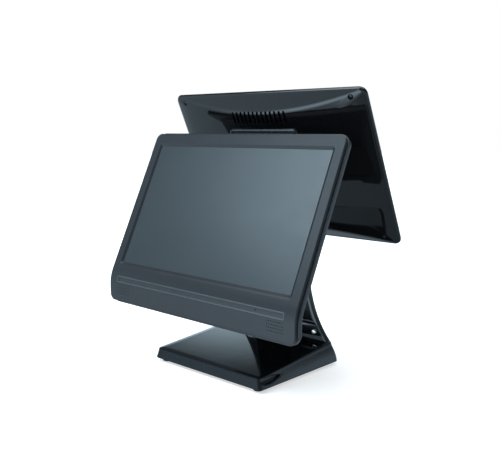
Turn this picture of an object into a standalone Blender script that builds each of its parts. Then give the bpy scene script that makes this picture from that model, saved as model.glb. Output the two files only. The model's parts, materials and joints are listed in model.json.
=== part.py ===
"""Counter-top point-of-sale terminal: an operator touchscreen and a customer display on one stand.

The stand's frame has +X to the operator's right, +Y towards the customer and +Z up.
Each display has its own frame: X across the panel, Y up the panel (u), Z out of its screen (w).
All lengths are in metres and all angles in radians.
"""

from math import cos, exp, pi, radians, sin

import bmesh
import bpy
from mathutils import Euler, Vector

# ---- driving dimensions ----------------------------------------------------------------

GAP = 0.0003  # clearance between pieces that touch
STAND_Y = -0.0150  # the base's centre lies in front of the whole terminal's centre

# operator display
MAIN_W = 0.388
MAIN_LEAN = radians(25.8)  # back from upright
MAIN_GLASS_Y = -0.095  # bottom edge of the visible screen
MAIN_GLASS_Z = 0.1487
SCREEN_W = 0.346  # visible glass of a 15.6 inch wide panel
SCREEN_H = 0.198
MAIN_TOP = 0.2217  # case top, measured up the panel from the visible glass
CASE_R = 0.018
CASE_T = 0.0112  # from the bezel's face to the back of the case's rim
FACE = 0.0025  # bezel face above the glass
CHIN_START = -0.012  # where the flat face starts to curve to upright
CHIN_R = 0.065
CHIN_DROP = 0.0248  # upright stretch below the curve
RIM = 0.0030  # rear shell's rim seen round the bezel
RIM_BACK = 0.0042  # how far the rim is set back from the bezel's face
RIM_WALL = 0.0036  # a little under the bezel, which rests on it
CASE_SKIN = 0.0016  # rear shell's wall behind the rim
BEZEL_R = 0.010
BEZEL_SKIN = 0.0022  # bezel's thickness over the glass
WINDOW_GROW = 0.0035  # bezel window's chamfer
HUMP_T = 0.045  # housing behind the glass plane
STRIP_S = (-0.0330, -0.0228)  # trim strip's developed heights on the chin
STRIP_X = 0.173
LAMP = (0.123, -0.0276)  # x and developed height of the status lamp

# customer display
CUST_W = 0.380
CUST_H = 0.2425
CUST_LEAN = radians(23.0)
CUST_Y = 0.1335  # bottom edge of the largest outline
CUST_Z = 0.1862
CUST_R = 0.011
CUST_WINDOW_U = 0.024

# stand
BASE_W = 0.218
BASE_D = 0.1736
BASE_R = 0.004
BASE_Z = 0.005
BASE_FRONT_Z = 0.0205
BASE_REAR_Z = 0.0347
BASE_WALL = 0.003
PLATE_T = 0.002  # bottom plate
BALLAST_T = 0.0085
FLOOR_Z = BASE_Z + PLATE_T + GAP  # what stands on the bottom plate
BASE_TAPER = 0.060  # how much narrower the top is at the rear
FOOT_R = 0.0075
FEET = (("front", 0.096, -0.074), ("rear", 0.088, 0.066))
NECK_BACK = 0.0855
NECK_RIM_Y = 0.076
NECK_Z = 0.035
NECK_TOP = 0.205
NECK_HALF = 0.050  # half width far above the foot
NECK_FLARE = 0.046  # extra half width at the foot
NECK_DECAY = 0.051
POCKET_DEPTH = 0.006
NECK_POCKETS = (("upper", 0.007, 0.062, 0.197), ("lower", 0.004, 0.040, 0.057))  # inset, z range
THUMB_SCREW = (0.0745, 0.0455)  # x and z
SPINE_X = 0.030
SPINE_Y = (0.066, 0.072)
SPINE_TOP = 0.232
SPINE_TOE_Y = 0.048  # front of the spine's foot
SPINE_FOOT_T = 0.004
SHROUD_Z = (0.1783, 0.236)
SHEET_WALL = 0.0025  # moulded covers of the neck and hinges

# hinges, as (y, z) in the stand's frame
MAIN_AXIS = (0.008, 0.205)
CUST_AXIS = (0.0625, 0.2614)
MAIN_PIN_R = 0.005
CUST_PIN_R = 0.004
PIN_CLEAR = 0.0003
WASHER_T = 0.0014
LEAF_T = 0.003

ARC = 5  # segments in a rounded corner
ROUND = 24  # segments in a pin or hole


# ---- materials -------------------------------------------------------------------------

FINISHES = {
    "bezel_plastic": ((0.030, 0.034, 0.038), 0.42, 0.0),
    "shell_plastic": ((0.045, 0.050, 0.056), 0.35, 0.0),
    "gloss_black": ((0.004, 0.004, 0.005), 0.06, 0.0),
    "satin_black": ((0.020, 0.023, 0.027), 0.32, 0.0),
    "screen_glass": ((0.050, 0.065, 0.075), 0.08, 0.0),
    "lcd": ((0.015, 0.018, 0.020), 0.25, 0.0),
    "zinc_steel": ((0.42, 0.43, 0.44), 0.38, 1.0),
    "black_steel": ((0.030, 0.030, 0.032), 0.30, 1.0),
    "aluminium": ((0.62, 0.63, 0.64), 0.35, 1.0),
    "circuit_board": ((0.012, 0.075, 0.040), 0.40, 0.0),
    "rubber": ((0.012, 0.012, 0.012), 0.80, 0.0),
    "socket_black": ((0.015, 0.015, 0.016), 0.50, 0.0),
    "nickel": ((0.60, 0.58, 0.54), 0.22, 1.0),
    "light_pipe": ((0.65, 0.75, 0.80), 0.15, 0.0),
}


def make_materials():
    made = {}
    for name, (colour, roughness, metallic) in FINISHES.items():
        material = bpy.data.materials.new(name)
        material.use_nodes = True
        shader = material.node_tree.nodes["Principled BSDF"]
        shader.inputs["Base Color"].default_value = (*colour, 1.0)
        shader.inputs["Roughness"].default_value = roughness
        shader.inputs["Metallic"].default_value = metallic
        made[name] = material
    return made


# ---- outlines --------------------------------------------------------------------------


def rounded(x0, y0, x1, y1, r, segments=ARC):
    """Corner points of a rounded rectangle, anticlockwise."""
    corners = (
        (x1 - r, y1 - r, 0.0),
        (x0 + r, y1 - r, 0.5 * pi),
        (x0 + r, y0 + r, pi),
        (x1 - r, y0 + r, 1.5 * pi),
    )
    points = []
    for cx, cy, start in corners:
        for i in range(segments + 1):
            a = start + 0.5 * pi * i / segments
            points.append((cx + r * cos(a), cy + r * sin(a)))
    return points


def rectangle(x0, y0, x1, y1):
    return [(x0, y0), (x1, y0), (x1, y1), (x0, y1)]


def circle(cx, cy, r, segments=ROUND):
    return [
        (cx + r * cos(2 * pi * i / segments), cy + r * sin(2 * pi * i / segments))
        for i in range(segments)
    ]


def lug_outline(axis, r, foot, segments=10):
    """A round end about axis on a foot given by its two far corners, as (a, b) points."""
    (ay, az), (fy0, fz0), (fy1, fz1) = axis, *foot
    reach = Vector(((fy0 + fy1) / 2 - ay, (fz0 + fz1) / 2 - az)).normalized()
    side = Vector((-reach.y, reach.x))
    points = [(fy0, fz0), (fy1, fz1)]
    arc = []
    for i in range(segments + 1):
        a = pi * i / segments
        p = Vector((ay, az)) + side * (r * cos(a)) - reach * (r * sin(a))
        arc.append((p.x, p.y))
    ahead = Vector((arc[0][0] - fy1, arc[0][1] - fz1)).length
    behind = Vector((arc[-1][0] - fy1, arc[-1][1] - fz1)).length
    return points + (arc if ahead < behind else arc[::-1])


# ---- solids ----------------------------------------------------------------------------


def place(axis, a, b, t):
    """The 3-D point of outline point (a, b) at height t along the prism's axis."""
    return {"X": (t, a, b), "Y": (a, t, b), "Z": (a, b, t)}[axis]


def solid(name, bm, material=None, parent=None):
    bmesh.ops.recalc_face_normals(bm, faces=bm.faces)
    mesh = bpy.data.meshes.new(name)
    bm.to_mesh(mesh)
    bm.free()
    obj = bpy.data.objects.new(name, mesh)
    if material:
        mesh.materials.append(material)
    obj.parent = parent
    bpy.context.collection.objects.link(obj)
    return obj


def loft(name, rings, material=None, parent=None):
    """A closed solid through rings of equally many 3-D points, capped at both ends."""
    bm = bmesh.new()
    loops = [[bm.verts.new(p) for p in ring] for ring in rings]
    for low, high in zip(loops, loops[1:]):
        for i in range(len(low)):
            j = (i + 1) % len(low)
            bm.faces.new((low[i], low[j], high[j], high[i]))
    bm.faces.new(loops[0][::-1])
    bm.faces.new(loops[-1])
    return solid(name, bm, material, parent)


def prism(name, outline, axis, lo, hi, material=None, parent=None):
    rings = [[place(axis, a, b, t) for a, b in outline] for t in (lo, hi)]
    return loft(name, rings, material, parent)


def box(name, lo, hi, material=None, parent=None):
    return prism(name, rectangle(lo[0], lo[1], hi[0], hi[1]), "Z", lo[2], hi[2], material, parent)


def prisms(name, outlines, axis, lo, hi, parent=None):
    """Several separate prisms in one object, to be used as one cutter."""
    bm = bmesh.new()
    for outline in outlines:
        low, high = ([bm.verts.new(place(axis, a, b, t)) for a, b in outline] for t in (lo, hi))
        for i in range(len(low)):
            j = (i + 1) % len(low)
            bm.faces.new((low[i], low[j], high[j], high[i]))
        bm.faces.new(low[::-1])
        bm.faces.new(high)
    return solid(name, bm, None, parent)


def combine(target, tool, operation="DIFFERENCE"):
    """Adds a Boolean of tool to target and keeps the tool out of the model."""
    tool.hide_render = True
    tool.display_type = "WIRE"
    modifier = target.modifiers.new(tool.name, "BOOLEAN")
    modifier.operation = operation
    modifier.solver = "EXACT"
    modifier.object = tool
    return target


def frame(name, parent, location=(0, 0, 0), rotation=(0, 0, 0)):
    empty = bpy.data.objects.new(name, None)
    empty.parent = parent
    empty.location = location
    empty.rotation_euler = Euler(rotation)
    bpy.context.collection.objects.link(empty)
    return empty


def smooth(obj, angle=radians(35)):
    obj.data.shade_smooth()
    obj.data.set_sharp_from_angle(angle=angle)
    return obj


# ---- base ------------------------------------------------------------------------------


def base_top(y):
    """Height of the sloping top of the base at y."""
    front, rear = -BASE_D / 2, NECK_BACK
    return BASE_FRONT_Z + (BASE_REAR_Z - BASE_FRONT_Z) * (y - front) / (rear - front)


def base_ring(inset, drop, top):
    """A ring of the base's shell: at its open bottom, or at its sloping top."""
    shrink = 0.004 if top else 0.0
    x = BASE_W / 2 - inset - shrink
    y0 = -BASE_D / 2 + inset + shrink
    y1 = BASE_D / 2 - inset - (0.0008 if top else 0.0)
    outline = rounded(-x, y0, x, y1, max(BASE_R - inset, 0.002))
    if not top:
        return [(px, py, BASE_Z - drop) for px, py in outline]
    ring = []
    for px, py in outline:
        narrow = 1 - BASE_TAPER * (py - y0) / (y1 - y0)
        ring.append((px * narrow, py, base_top(py) - drop))
    return ring


def make_base(mat, stand):
    outer = [base_ring(0, 0, False), base_ring(0, 0, True)]
    cover = loft("base_cover", outer, mat["gloss_black"], stand)
    inner = [base_ring(BASE_WALL, drop, False) for drop in (0.01, -0.0025)]
    cavity = loft("cut_base", inner + [base_ring(BASE_WALL, BASE_WALL, True)], None, stand)
    combine(cover, cavity)
    slot_lo = (-SPINE_X - GAP, SPINE_Y[0] - GAP, 0)
    slot_hi = (SPINE_X + GAP, SPINE_Y[1] + GAP, 0.05)
    combine(cover, box("cut_spine_slot", slot_lo, slot_hi, None, stand))
    x = BASE_W / 2 - BASE_WALL - 2 * GAP
    y = BASE_D / 2 - BASE_WALL - 2 * GAP
    prism("base_bottom_plate", rounded(-x, -y, x, y, 0.005, 3), "Z", BASE_Z, BASE_Z + PLATE_T,
          mat["zinc_steel"], stand)
    prism("base_ballast", rounded(-0.085, -0.068, 0.085, 0.042, 0.006, 3), "Z", FLOOR_Z,
          FLOOR_Z + BALLAST_T, mat["black_steel"], stand)
    for fore, foot_x, y in FEET:
        for side, x in (("left", -foot_x), ("right", foot_x)):
            rings = [
                [(px, py, z) for px, py in circle(x, y, r)]
                for r, z in ((FOOT_R - 0.001, 0), (FOOT_R, 0.001), (FOOT_R, BASE_Z - GAP))
            ]
            smooth(loft(f"foot_{fore}_{side}", rings, mat["rubber"], stand))


# ---- neck ------------------------------------------------------------------------------


def neck_half(z):
    """Half width of the neck, which flares out to the base's rear corners."""
    return NECK_HALF + NECK_FLARE * exp(-(z - NECK_Z) / NECK_DECAY)


def neck_outline(inset, z0, z1, steps=12):
    """The neck's flaring outline, moved in by inset, between two heights."""
    heights = [z0 + (z1 - z0) * (i / steps) ** 1.6 for i in range(steps + 1)]
    right = [(neck_half(z) - inset, z) for z in heights]
    return right + [(-x, z) for x, z in reversed(right)]


def make_neck(mat, stand):
    casting = prism("neck_casting", neck_outline(0, NECK_Z, NECK_TOP), "Y", NECK_RIM_Y, NECK_BACK,
                    mat["satin_black"], stand)
    pocket_floor = NECK_RIM_Y + POCKET_DEPTH
    for name, edge, z0, z1 in NECK_POCKETS:
        outline = neck_outline(edge, z0, z1, 8)
        pocket = prism(f"cut_pocket_{name}", outline, "Y", 0.05, pocket_floor, None, stand)
        combine(casting, pocket)
    foot_top = FLOOR_Z + SPINE_FOOT_T
    profile = [
        (SPINE_TOE_Y, FLOOR_Z), (SPINE_Y[1], FLOOR_Z), (SPINE_Y[1], SPINE_TOP),
        (SPINE_Y[0], SPINE_TOP), (SPINE_Y[0], foot_top), (SPINE_TOE_Y, foot_top),
    ]
    prism("neck_spine", profile, "X", -SPINE_X, SPINE_X, mat["zinc_steel"], stand)

    rear = NECK_RIM_Y - GAP
    wall = SHEET_WALL
    left = [(-0.045, rear), (-0.036, 0.058), (-0.032, 0.056)]
    outer = left + [(-x, y) for x, y in reversed(left)]
    inner = [(-0.0415, 0.09), (-0.0335, 0.056 + wall), (0.0335, 0.056 + wall), (0.0415, 0.09)]
    cover_top = SHROUD_Z[0] - GAP
    cover = prism("neck_front_cover", outer, "Z", NECK_Z + GAP, cover_top, mat["gloss_black"], stand)
    combine(cover, prism("cut_front_cover", inner, "Z", 0, 0.3, None, stand))

    x, z = THUMB_SCREW
    stations = ((0.0038, 0.0722), (0.0048, 0.0732), (0.0048, 0.0790), (0.0040, pocket_floor - GAP))
    for side, sign in (("left", -1), ("right", 1)):
        rings = [[(px, y, pz) for px, pz in circle(sign * x, z, r, 16)] for r, y in stations]
        smooth(loft(f"neck_thumb_screw_{side}", rings, mat["nickel"], stand))

    low, high = SHROUD_Z
    hood = rounded(0.020, low, rear, high, 0.009)
    shroud = prism("hinge_shroud", hood, "X", -0.050, 0.050, mat["satin_black"], stand)
    room = rounded(0.0, low + wall, rear - wall, high - wall, 0.0035)
    combine(shroud, prism("cut_shroud", room, "X", -0.050 + wall, 0.050 - wall, None, stand))
    x = SPINE_X + GAP
    combine(shroud, box("cut_shroud_floor", (-x, 0.058, 0.17), (x, 0.0725, 0.19), None, stand))
    combine(shroud, box("cut_shroud_roof", (-0.0245, 0.054, 0.23), (0.0245, 0.0665, 0.24), None, stand))


# ---- hinges ----------------------------------------------------------------------------


def cross_hole(target, name, axis, r, parent):
    return combine(target, prism(name, circle(*axis, r), "X", -0.1, 0.1, None, parent))


def washer(name, axis, r_in, r_out, x0, x1, material, parent):
    ring = prism(name, circle(*axis, r_out), "X", x0, x1, material, parent)
    return smooth(cross_hole(ring, f"cut_{name}", axis, r_in, parent))


def headed_pin(name, axis, r, head_r, half, head, material, parent):
    """A hinge pin along X with a head at each end."""
    stations = (
        (-half, head_r), (-half + head, head_r), (-half + head, r),
        (half - head, r), (half - head, head_r), (half, head_r),
    )
    rings = [[(x, a, b) for a, b in circle(*axis, radius)] for x, radius in stations]
    return smooth(loft(name, rings, material, parent))


def make_stand_hinges(mat, stand):
    y0, y1 = SPINE_Y[0] - GAP - 0.003, SPINE_Y[0] - GAP
    steel = mat["zinc_steel"]
    bracket = box("main_hinge_bracket", (-0.034, y0, 0.187), (0.034, y1, 0.223), steel, stand)
    cheek = lug_outline(MAIN_AXIS, 0.009, ((y0 + 0.001, 0.190), (y0 + 0.001, 0.220)))
    for side, x0 in (("left", -0.034), ("right", 0.030)):
        lug = prism(f"cut_main_cheek_{side}", cheek, "X", x0, x0 + 0.004, None, stand)
        combine(bracket, lug, "UNION")
    cross_hole(bracket, "cut_main_bracket_bore", MAIN_AXIS, MAIN_PIN_R + PIN_CLEAR, stand)
    nickel = mat["nickel"]
    bore = MAIN_PIN_R + PIN_CLEAR
    headed_pin("main_hinge_pin", MAIN_AXIS, MAIN_PIN_R, 0.008, 0.0450, 0.003, nickel, stand)
    for side, x0 in (("left", -0.0357), ("right", 0.0343)):
        name = f"main_friction_washer_{side}"
        washer(name, MAIN_AXIS, bore, 0.0088, x0, x0 + WASHER_T, nickel, stand)

    bracket = box("customer_hinge_bracket", (-0.024, y0, 0.2255), (0.024, y1, 0.244), steel, stand)
    cheek = lug_outline(CUST_AXIS, 0.0075, ((0.0562, 0.236), (y1, 0.236)))
    for side, x0 in (("left", -0.024), ("right", 0.020)):
        lug = prism(f"cut_customer_cheek_{side}", cheek, "X", x0, x0 + 0.004, None, stand)
        combine(bracket, lug, "UNION")
    bore = CUST_PIN_R + PIN_CLEAR
    cross_hole(bracket, "cut_customer_bracket_bore", CUST_AXIS, bore, stand)
    headed_pin("customer_hinge_pin", CUST_AXIS, CUST_PIN_R, 0.0065, 0.0345, 0.0025, nickel, stand)
    for side, x0 in (("left", -0.0257), ("right", 0.0243)):
        name = f"customer_friction_washer_{side}"
        washer(name, CUST_AXIS, bore, 0.0072, x0, x0 + WASHER_T, nickel, stand)


def hinge_leaf(name, plate_lo, plate_hi, axis, r, pin_r, lug_x, material, parent):
    """A flat leaf with two lugs that carry it on a pin along X, in a display's frame."""
    leaf = box(name, plate_lo, plate_hi, material, parent)
    u, w = axis
    foot = ((u - r - 0.004, plate_hi[2] - 0.001), (u + r + 0.004, plate_hi[2] - 0.001))
    lug = lug_outline(axis, r, foot)
    for side, x0 in (("left", -lug_x[1]), ("right", lug_x[0])):
        part = prism(f"cut_{name}_{side}", lug, "X", x0, x0 + lug_x[1] - lug_x[0], None, parent)
        combine(leaf, part, "UNION")
    return cross_hole(leaf, f"cut_{name}_bore", axis, pin_r + PIN_CLEAR, parent)


# ---- operator display ------------------------------------------------------------------


def face_point(s, depth):
    """The point (u, w) at developed height s on the face, and depth behind it."""
    flat = CHIN_START
    arc_end = flat - CHIN_R * MAIN_LEAN
    if s >= flat:
        return s, FACE - depth
    turn = min(flat - s, CHIN_R * MAIN_LEAN) / CHIN_R
    u = flat - (CHIN_R - depth) * sin(turn)
    w = FACE - CHIN_R + (CHIN_R - depth) * cos(turn)
    below = max(arc_end - s, 0.0)
    return u - below * cos(MAIN_LEAN), w - below * sin(MAIN_LEAN)


CHIN_BOTTOM = CHIN_START - CHIN_R * MAIN_LEAN - CHIN_DROP  # developed height of the lower edge


def face_band(s0, s1, d0, d1, steps=7):
    """Side outline (u, w) of the layer from depth d0 to d1 between developed heights."""
    arc_end = CHIN_START - CHIN_R * MAIN_LEAN
    marks = [CHIN_START + (arc_end - CHIN_START) * i / steps for i in range(steps + 1)]
    stations = [s1] + [s for s in marks if s0 < s < s1] + [s0]
    return [face_point(s, d0) for s in stations] + [face_point(s, d1) for s in reversed(stations)]


def case_layer(name, d0, d1, inset, r, material, panel, upright):
    """A layer of the case, parallel to its bent face, with corners of radius r."""
    x = MAIN_W / 2 - inset
    side = face_band(CHIN_BOTTOM + inset, MAIN_TOP - inset, d0, d1)
    layer = prism(name, side, "X", -x, x, material, panel)
    outline = rounded(-x, -0.2, x, MAIN_TOP - inset, r)
    top = prism(f"cut_{name}_top", outline, "Z", -0.08, 0.03, None, panel)
    combine(layer, top, "INTERSECT")
    outline = rounded(-x, chin_bottom_z() + inset, x, 0.45, r)
    low = prism(f"cut_{name}_bottom", outline, "Y", -0.14, 0.12, None, upright)
    return combine(layer, low, "INTERSECT")


def to_stand(u, w):
    """(y, z) in the stand's frame of a point (u, w) of the operator display's frame."""
    y = MAIN_GLASS_Y + u * sin(MAIN_LEAN) - w * cos(MAIN_LEAN)
    z = MAIN_GLASS_Z + u * cos(MAIN_LEAN) + w * sin(MAIN_LEAN)
    return y, z


def chin_bottom_z():
    return to_stand(*face_point(CHIN_BOTTOM, 0.0))[1]


def in_panel(axis, glass, lean):
    """A hinge axis (y, z) as (u, w) in the operator display's frame."""
    dy, dz = axis[0] - glass[0], axis[1] - glass[1]
    return dy * sin(lean) + dz * cos(lean), -dy * cos(lean) + dz * sin(lean)


# half width and u range of the housing, at the rim and at the back
HUMP = ((0.172, -0.036, 0.204), (0.150, -0.024, 0.166))
SOCKETS = (  # name, x, width, depth along y
    ("power_socket", -0.052, 0.015, 0.015),
    ("network_socket", -0.027, 0.017, 0.014),
    ("usb_socket", -0.003, 0.015, 0.016),
    ("drawer_socket", 0.020, 0.014, 0.014),
    ("serial_socket", 0.047, 0.031, 0.013),
)
SOCKET_Y = -0.073
BAY_Z = 0.128  # ceiling of the cable bay under the housing
BAY_X = 0.075
BUTTON = (0.110, -0.1020)  # x and y of the power button's centre


def hump_rings(inset, w_low, w_high):
    (x0, u0, v0), (x1, u1, v1) = HUMP
    rings = []
    for x, u, v, w in ((x0, u0, v0, w_low), (x1, u1, v1, w_high)):
        outline = rounded(-x + inset, u + inset, x - inset, v - inset, 0.012, 4)
        rings.append([(a, b, w) for a, b in outline])
    return rings


def make_rear_shell(mat, panel, upright):
    shell = case_layer("main_rear_shell", RIM_BACK, CASE_T, 0.0, CASE_R, mat["shell_plastic"], panel,
                       upright)
    hump = loft("cut_hump", hump_rings(0.0, FACE - CASE_T + 0.001, -HUMP_T), None, panel)
    combine(shell, hump, "UNION")
    inside_r = CASE_R - RIM_WALL
    cavity = case_layer("cut_case_cavity", -0.01, CASE_T - CASE_SKIN, RIM_WALL, inside_r, None, panel,
                        upright)
    combine(shell, cavity)
    wall = 0.0025
    room = loft("cut_hump_room", hump_rings(wall, -0.006, -HUMP_T + wall), None, panel)
    bay = (-BAY_X, -0.092, 0.05), (BAY_X, 0.0, BAY_Z)
    outside = (bay[0][0] - wall, bay[0][1] - wall, bay[0][2]), (bay[1][0] + wall, 0.0, BAY_Z + wall)
    combine(room, box("cut_bay_walls", *outside, None, upright))
    combine(shell, room)
    combine(shell, box("cut_bay", *bay, None, upright))
    holes = prisms("cut_socket_holes", socket_holes(), "Z", BAY_Z - 0.002, BAY_Z + 0.004, upright)
    combine(shell, holes)
    slots = [rounded(x - 0.0022, 0.132, x + 0.0022, 0.156, 0.002, 2) for x in slot_row(12, 0.0105)]
    combine(shell, prisms("cut_hump_vents", slots, "Z", -0.06, -0.035, panel))
    x, y = BUTTON
    hole = rounded(x - 0.0055, y - 0.0020, x + 0.0055, y + 0.0020, 0.0010, 2)
    combine(shell, prism("cut_button_hole", hole, "Z", 0.07, chin_bottom_z() + 0.010, None, upright))
    return shell


def socket_holes():
    """Outlines round each socket, with a clearance."""
    outlines = []
    for _, x, w, d in SOCKETS:
        half_w, half_d = w / 2 + GAP, d / 2 + GAP
        outlines.append(rectangle(x - half_w, SOCKET_Y - half_d, x + half_w, SOCKET_Y + half_d))
    return outlines


def slot_row(count, pitch):
    """Centres of a row of evenly spaced slots."""
    return [(i - (count - 1) / 2) * pitch for i in range(count)]


def window_cut(name, u0, back, face, panel):
    """Cutter for a bezel's window: straight at the glass and chamfered up to the face."""
    slope = WINDOW_GROW / (face - back)
    beyond = 0.003
    rings = []
    for w, grow in ((back - 0.02, 0.0), (back, 0.0), (face + beyond, WINDOW_GROW + slope * beyond)):
        x = SCREEN_W / 2 + grow
        outline = rounded(-x, u0 - grow, x, u0 + SCREEN_H + grow, 0.0012 + grow, 2)
        rings.append([(a, b, w) for a, b in outline])
    return loft(name, rings, None, panel)


def make_bezel(mat, panel, upright):
    bezel = case_layer("main_front_bezel", 0.0, RIM_BACK - GAP, RIM, BEZEL_R, mat["bezel_plastic"], panel,
                       upright)
    pocket = rounded(-0.1820, -0.0095, 0.1820, 0.2075, 0.004, 2)
    combine(bezel, prism("cut_glass_pocket", pocket, "Z", -0.02, FACE - BEZEL_SKIN, None, panel))
    combine(bezel, window_cut("cut_main_window", 0.0, GAP, FACE, panel))
    low, high = STRIP_S
    x = STRIP_X
    seat = face_band(low - GAP, high + GAP, -0.002, 0.0010)
    combine(bezel, prism("cut_strip_seat", seat, "X", -x - GAP, x + GAP, None, panel))
    band = face_band(low, high, -0.0002, 0.0007)
    strip = prism("main_trim_strip", band, "X", -x, x, mat["shell_plastic"], panel)
    lamp_x, s = LAMP
    u, w = face_point(s, 0.0)
    turn = (CHIN_START - s) / CHIN_R
    lamp = frame("status_lamp_frame", panel, (lamp_x, u, w), (turn, 0, 0))
    for target, name in ((bezel, "cut_lamp_bezel"), (strip, "cut_lamp_strip")):
        combine(target, prism(name, circle(0, 0, 0.0013, 12), "Z", -0.02, 0.02, None, lamp))
    pipe = circle(0, 0, 0.0010, 12)
    smooth(prism("status_light_pipe", pipe, "Z", -0.0045, 0.0, mat["light_pipe"], lamp))


def make_screen_stack(mat, panel):
    prism("main_touch_glass", rounded(-0.179, -0.006, 0.179, 0.204, 0.003, 2), "Z", -0.0018, 0.0,
          mat["screen_glass"], panel)
    prism("main_lcd_panel", rounded(-0.176, -0.0035, 0.176, 0.2015, 0.002, 2), "Z", -0.0053, -0.0021,
          mat["lcd"], panel)
    outline = rounded(-0.1815, -0.0090, 0.1815, 0.2070, 0.004, 2)
    tray = prism("main_chassis", outline, "Z", -0.0068, -0.0023, mat["zinc_steel"], panel)
    inside = rounded(-0.1795, -0.0070, 0.1795, 0.2050, 0.003, 2)
    combine(tray, prism("cut_chassis", inside, "Z", -0.0056, 0.01, None, panel))


def make_electronics(mat, panel, upright):
    board = [(-0.095, 0.020), (0.075, 0.020), (0.075, 0.150), (0.055, 0.170), (-0.095, 0.170)]
    prism("main_board", board, "Z", -0.0160, -0.0144, mat["circuit_board"], panel)
    fin, pitch, count = 0.0014, 0.0060, 11
    start, foot, root, tip = -0.030, -0.0163, -0.0195, -0.0370
    comb = [(start, foot), (start, tip)]
    for i in range(count):
        x = start + i * pitch
        comb += [(x + fin, tip), (x + fin, root)]
        if i < count - 1:
            comb += [(x + pitch, root), (x + pitch, tip)]
    comb += [(start + (count - 1) * pitch + fin, foot)]
    prism("heat_sink", comb, "Y", 0.085, 0.145, mat["aluminium"], panel)
    box("storage_drive", (0.080, 0.030, -0.0230), (0.142, 0.130, -0.0160), mat["aluminium"], panel)
    green = mat["circuit_board"]
    power = box("power_board", (-0.142, 0.030, -0.0160), (-0.100, 0.130, -0.0144), green, panel)
    coil = box("cut_power_coil", (-0.134, 0.060, -0.0300), (-0.110, 0.090, -0.0155), None, panel)
    combine(power, coil, "UNION")
    steel = mat["zinc_steel"]
    box("hinge_backing_plate", (-0.060, 0.066, -0.0422), (0.060, 0.126, -0.0402), steel, panel)
    for side, x in (("left", -0.1575), ("right", 0.1575)):
        outline = rounded(x - 0.017, 0.0985, x + 0.017, 0.1175, 0.004, 3)
        prism(f"speaker_{side}", outline, "Y", -0.1044, -0.1000, mat["socket_black"], upright)


def make_sockets(mat, upright):
    top = BAY_Z - GAP
    bottom = top - 0.0015
    steel = mat["zinc_steel"]
    plate = box("io_port_plate", (-0.068, -0.0865, bottom), (0.068, -0.0600, top), steel, upright)
    holes = prisms("cut_plate_holes", socket_holes(), "Z", BAY_Z - 0.01, BAY_Z + 0.01, upright)
    combine(plate, holes)
    lip = 0.0016
    for name, x, w, d in SOCKETS:
        lo = (x - w / 2, SOCKET_Y - d / 2, bottom - 0.0005)
        hi = (x + w / 2, SOCKET_Y + d / 2, BAY_Z + 0.0100)
        body = box(name, lo, hi, mat["socket_black"], upright)
        inner_lo = (lo[0] + lip, lo[1] + lip, 0.1)
        inner_hi = (hi[0] - lip, hi[1] - lip, hi[2] - lip)
        combine(body, box(f"cut_{name}", inner_lo, inner_hi, None, upright))


def make_power_button(mat, upright):
    """A push button in the lower edge: a cap below and a flange that keeps it in."""
    x, y = BUTTON
    bottom = chin_bottom_z()
    pivot = frame("power_button_travel", upright, (x, y, bottom))
    outline = rounded(-0.0050, -0.0017, 0.0050, 0.0017, 0.0008, 2)
    cap = prism("power_button", outline, "Z", -0.0008, 0.0090, mat["gloss_black"], pivot)
    flange = box("cut_button_flange", (-0.0070, -0.0024, 0.0083), (0.0070, 0.0024, 0.0098), None, pivot)
    combine(cap, flange, "UNION")


def make_main_display(mat, stand):
    pivot = frame("main_tilt_axis", stand, (0, *MAIN_AXIS))
    upright = frame("main_upright", pivot, (0, -MAIN_AXIS[0], -MAIN_AXIS[1]))
    panel = frame("main_panel", upright, (0, MAIN_GLASS_Y, MAIN_GLASS_Z), (pi / 2 - MAIN_LEAN, 0, 0))
    make_rear_shell(mat, panel, upright)
    make_bezel(mat, panel, upright)
    make_screen_stack(mat, panel)
    make_electronics(mat, panel, upright)
    make_sockets(mat, upright)
    make_power_button(mat, upright)
    axis = in_panel(MAIN_AXIS, (MAIN_GLASS_Y, MAIN_GLASS_Z), MAIN_LEAN)
    back = -HUMP_T - GAP
    low, high = (-0.060, 0.066, back - LEAF_T), (0.060, 0.126, back)
    lugs = (0.0363, 0.0403)
    hinge_leaf("main_hinge_leaf", low, high, axis, 0.009, MAIN_PIN_R, lugs, mat["zinc_steel"], panel)


# ---- customer display ------------------------------------------------------------------

COVER_STEPS = (
    (0.0, 0.0), (0.0012, -0.0022), (0.0030, -0.0040), (0.0060, -0.0062),
    (0.012, -0.0100), (0.025, -0.0148), (0.050, -0.0195),
)  # inset and w
COVER_ROOM = (
    (0.0030, 0.002), (0.0035, -0.0012), (0.0072, -0.0040),
    (0.0130, -0.0076), (0.0260, -0.0122), (0.0510, -0.0170),
)  # the hollow inside it
BOSS_W = -0.0230  # back of the mounting boss
SCREW_X = 0.168
SCREW_U = (("upper", 0.2300), ("lower", 0.0135))


def cust_ring(inset, w, segments=ARC):
    x = CUST_W / 2 - inset
    outline = rounded(-x, inset, x, CUST_H - inset, max(CUST_R - inset * 0.5, 0.003), segments)
    return [(a, b, w) for a, b in outline]


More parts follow.
